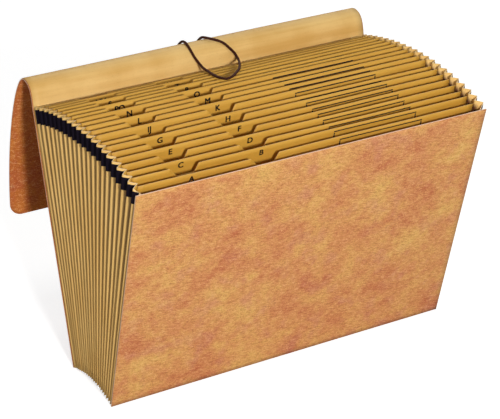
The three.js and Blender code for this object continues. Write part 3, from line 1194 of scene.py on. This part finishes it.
# %% [markdown]
# ## The elastic loop
# One length of round elastic, knotted at both ends inside the flap. It comes out through two
# holes, climbs the outer face of the roll, and its loop falls over the crest on to the tops of
# the dividers. A bevelled curve object could be the cord, but a mesh can carry a UV map that
# counts metres along it, which the thread's winding needs. So a ring of points is swept along a
# smooth curve through hand-placed points.

# %% Route of the elastic
CORD_DIAMETER = 2.7 * MM
CORD_ROUTE = [
    (-14, 179.8, 138), (-14, 184.5, 138), (-14, 188.8, 140.8), (-14, 189.6, 146.5),
    (-14, 186, 155.5), (-14, 178.6, 175), (-14, 173.8, 196.8), (-14, 167.9, 218.5),
    (-14, 161.3, 237.8), (-13.8, 154.2, 254.2), (-13.5, 146.9, 267.3), (-13.2, 139.5, 276.8),
    (-13, 133.3, 281.5), (-13.2, 127.6, 283), (-13.6, 121.5, 282.3), (-13.6, 115.6, 279.4),
    (-11.4, 110.2, 272.2), (-9.2, 105.3, 267.2), (-10.5, 94, 266.3), (-13.5, 78, 268.9),
    (-16.9, 62, 272), (-17.8, 47.3, 274.5), (-14.5, 39, 275.6), (-6, 42.8, 275.1),
    (4.1, 52.6, 273.7), (12.9, 62.8, 272), (25.7, 84.6, 267.8), (32.6, 99, 265.2),
    (34.8, 107, 265.8), (33.6, 108.8, 268.6), (28.9, 111.2, 274.3), (24.9, 114.6, 278.6),
    (20, 118.4, 281.2), (14.4, 122.4, 282.8), (10.9, 127.6, 283), (9.8, 133.3, 281.5),
    (9.3, 139.5, 276.8), (9.1, 146.9, 267.3), (9, 154.2, 254.2), (9, 161.3, 237.8),
    (9, 167.9, 218.5), (9, 173.8, 196.8), (9, 178.6, 175), (9, 186, 155.5),
    (9, 189.6, 146.5), (9, 188.8, 140.8), (9, 184.5, 138), (9, 179.8, 138),
]


def smooth_line(points, steps):
    """A centripetal Catmull-Rom line through the points."""
    points = np.array(points, float)
    ends = 2 * points[0] - points[1], 2 * points[-1] - points[-2]
    points = np.concatenate([[ends[0]], points, [ends[1]]])
    strides = np.linalg.norm(np.diff(points, axis=0), axis=1)
    knots = np.concatenate([[0], np.cumsum(np.sqrt(strides))])
    line = []
    for k in range(1, len(points) - 2):
        for t in np.linspace(knots[k], knots[k + 1], steps, endpoint=False):
            line.append(catmull(points[k - 1:k + 3], knots[k - 1:k + 3], t))
    line.append(points[-2])
    return np.array(line)


def catmull(p, knot, t):
    def between(a, b, start, end):
        return ((end - t) * a + (t - start) * b) / (end - start)

    a = [between(p[k], p[k + 1], knot[k], knot[k + 1]) for k in range(3)]
    b = [between(a[k], a[k + 1], knot[k], knot[k + 2]) for k in range(2)]
    return between(b[0], b[1], knot[1], knot[2])


# %% A tube along a line
def tube(name, line, radius, material, sides=14):
    """A round tube along a line, with a UV map that goes round and along it in metres."""
    ahead = np.gradient(line, axis=0)
    ahead /= np.linalg.norm(ahead, axis=1)[:, None]
    across = np.zeros_like(line)
    across[0] = np.cross(ahead[0], (0.0, 0.3, 1.0))
    across[0] /= np.linalg.norm(across[0])
    for k in range(1, len(line)):
        kept = across[k - 1] - ahead[k] * across[k - 1].dot(ahead[k])
        across[k] = kept / np.linalg.norm(kept)
    up = np.cross(ahead, across)
    turns = np.linspace(0, 2 * math.pi, sides, endpoint=False)
    rings = [line + radius * (math.cos(a) * across + math.sin(a) * up) for a in turns]
    points = np.stack(rings, axis=1).reshape(-1, 3)
    walked = walked_along(line)
    faces = []
    uvs = []
    for k in range(len(line) - 1):
        for s in range(sides):
            e = (s + 1) % sides
            faces.append((k * sides + s, k * sides + e, (k + 1) * sides + e, (k + 1) * sides + s))
            left, right = s / sides, (s + 1) / sides
            uvs += [(left, walked[k]), (right, walked[k]), (right, walked[k + 1]), (left, walked[k + 1])]
    last = (len(line) - 1) * sides
    faces.append(tuple(range(sides))[::-1])
    faces.append(tuple(range(last, last + sides)))
    uvs += [(0.5, 0.0)] * (2 * sides)
    mesh = bpy.data.meshes.new(name)
    mesh.from_pydata(points.tolist(), [], faces)
    layer = mesh.uv_layers.new(name="UVMap")
    layer.data.foreach_set("uv", np.array(uvs).ravel())
    mesh.polygons.foreach_set("use_smooth", [True] * len(faces))
    mesh.update()
    return add_object(name, mesh, material), walked[-1]


# %% Sweep the loop
move = np.array([0, SHIFT_Y, SHIFT_Z])
route = smooth_line(np.array(CORD_ROUTE) * MM + move, steps=8)
elastic, cord_length = tube("elastic_loop", route, CORD_DIAMETER / 2, spun_elastic)
settle(elastic, "elastic", "elastic_cord")
print("the loop is", round(cord_length / MM), "mm of elastic")

# %% [markdown]
# ## Knots
# A plain overhand knot stops each end from pulling through its hole. Its shape is a trefoil: a
# line that winds three times in and out while it goes twice round, drawn tight.

# %% Knots
KNOT_Y = 176.8 * MM + SHIFT_Y
KNOT_REACH = 1.75 * MM
KNOT_THREAD = 0.82 * MM
KNOT_STEPS = 72
RING_MIDDLE = 0.56
RING_SWING = 0.4
KNOT_FLATNESS = 0.62


def make_knot(name, x, node):
    turns = np.linspace(0, 2 * math.pi, KNOT_STEPS, endpoint=False)
    ring = KNOT_REACH * (RING_MIDDLE + RING_SWING * np.cos(3 * turns))
    line = np.stack([
        x + ring * np.cos(2 * turns),
        KNOT_Y + KNOT_FLATNESS * KNOT_REACH * np.sin(3 * turns),
        HOLE_Z + ring * np.sin(2 * turns),
    ], axis=1)
    closed = np.concatenate([line, line[:2]])
    piece, _ = tube(name, closed, KNOT_THREAD, spun_elastic, sides=10)
    return settle(piece, "elastic", node)


knots = [
    make_knot("loop_knot_left", HOLE_XS[0], "cord_knot_left"),
    make_knot("loop_knot_right", HOLE_XS[1], "cord_knot_right"),
]
print("knots tied at", [round(x / MM) for x in HOLE_XS], "mm across")

# %% [markdown]
# ## Floor, light and background
# The picture was taken against plain white. A large pale floor catches the folder's shadow. The
# main lamp stands low and just right of the camera, so each sheet throws a thin line of shadow
# on the one behind it. A weak wide lamp on each side opens the gusset's folds, one overhead
# lights the lining, and one behind keeps the flap's far side from going black. The sky is white
# where the camera sees it, so the background stays white without adding much light.

# %% Floor
FLOOR_REACH = 6.0
FLOOR_TONE = (205, 205, 205)
FLOOR_GLOW = 0.75


def make_floor():
    mesh = bpy.data.meshes.new("floor")
    corners = [(FLOOR_REACH * x, FLOOR_REACH * y, 0) for x, y in ((-1, -1), (1, -1), (1, 1), (-1, 1))]
    mesh.from_pydata(corners, [], [(0, 1, 2, 3)])
    finish = Finish("floor")
    seen = finish.node("ShaderNodeLightPath", output=0)
    finish.set(Base_Color=ink(*FLOOR_TONE), Roughness=0.9, Specular_IOR_Level=0.1)
    finish.set(Emission_Color=(1, 1, 1, 1), Emission_Strength=seen * FLOOR_GLOW)
    floor = add_object("floor", mesh, finish.material)
    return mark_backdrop(floor)


make_floor()
print("floor:", 2 * FLOOR_REACH, "m each way")


# %% Lamps
folder_middle = Vector((0.0, 0.0, 0.15))


def add_lamp(name, turn, rise, distance, size, power):
    """A soft round lamp: degrees round the folder, degrees up, metres away, metres wide, watts."""
    turn, rise = math.radians(turn), math.radians(rise)
    way = Vector((math.sin(turn) * math.cos(rise), -math.cos(turn) * math.cos(rise), math.sin(rise)))
    data = bpy.data.lights.new(name, "AREA")
    data.shape = "DISK"
    data.size = size
    data.energy = power
    lamp = bpy.data.objects.new(name, data)
    lamp.location = folder_middle + way * distance
    lamp.rotation_mode = "QUATERNION"
    lamp.rotation_quaternion = way.to_track_quat("Z", "Y")
    bpy.context.scene.collection.objects.link(lamp)
    return lamp


lamps = [
    add_lamp("key", turn=-15, rise=21, distance=2.8, size=0.3, power=56),
    add_lamp("left", turn=-70, rise=10, distance=2.4, size=1.3, power=5),
    add_lamp("right", turn=78, rise=12, distance=2.6, size=1.6, power=6),
    add_lamp("top", turn=-30, rise=80, distance=2.2, size=1.0, power=9),
    add_lamp("back_fill", turn=150, rise=40, distance=2.6, size=1.6, power=14),
]
print(len(lamps), "lamps of", sum(lamp.data.energy for lamp in lamps), "watts in all")

# %% Sky
SKY_LEVEL = 0.05


def make_sky():
    world = bpy.data.worlds.new("sky")
    bpy.context.scene.world = world
    world.use_nodes = True
    nodes, links = world.node_tree.nodes, world.node_tree.links
    plain = nodes["Background"]
    plain.inputs["Color"].default_value = (1, 1, 1, 1)
    plain.inputs["Strength"].default_value = SKY_LEVEL
    white = nodes.new("ShaderNodeBackground")
    white.inputs["Strength"].default_value = 1.0
    white.inputs["Color"].default_value = (1, 1, 1, 1)
    path = nodes.new("ShaderNodeLightPath")
    either = nodes.new("ShaderNodeMath")
    either.operation = "MAXIMUM"
    links.new(path.outputs["Is Camera Ray"], either.inputs[0])
    links.new(path.outputs["Is Glossy Ray"], either.inputs[1])
    swap = nodes.new("ShaderNodeMixShader")
    links.new(either.outputs[0], swap.inputs[0])
    links.new(plain.outputs[0], swap.inputs[1])
    links.new(white.outputs[0], swap.inputs[2])
    links.new(swap.outputs[0], nodes["World Output"].inputs["Surface"])


make_sky()
bpy.context.scene.view_settings.view_transform = "Standard"
print("the sky lights the folder at level", SKY_LEVEL)

# %% Measure and finish
dressed_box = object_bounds()
rounded = [[round(v, 4) for v in corner] for corner in dressed_box]
print("dressed model from", rounded[0], "to", rounded[1])
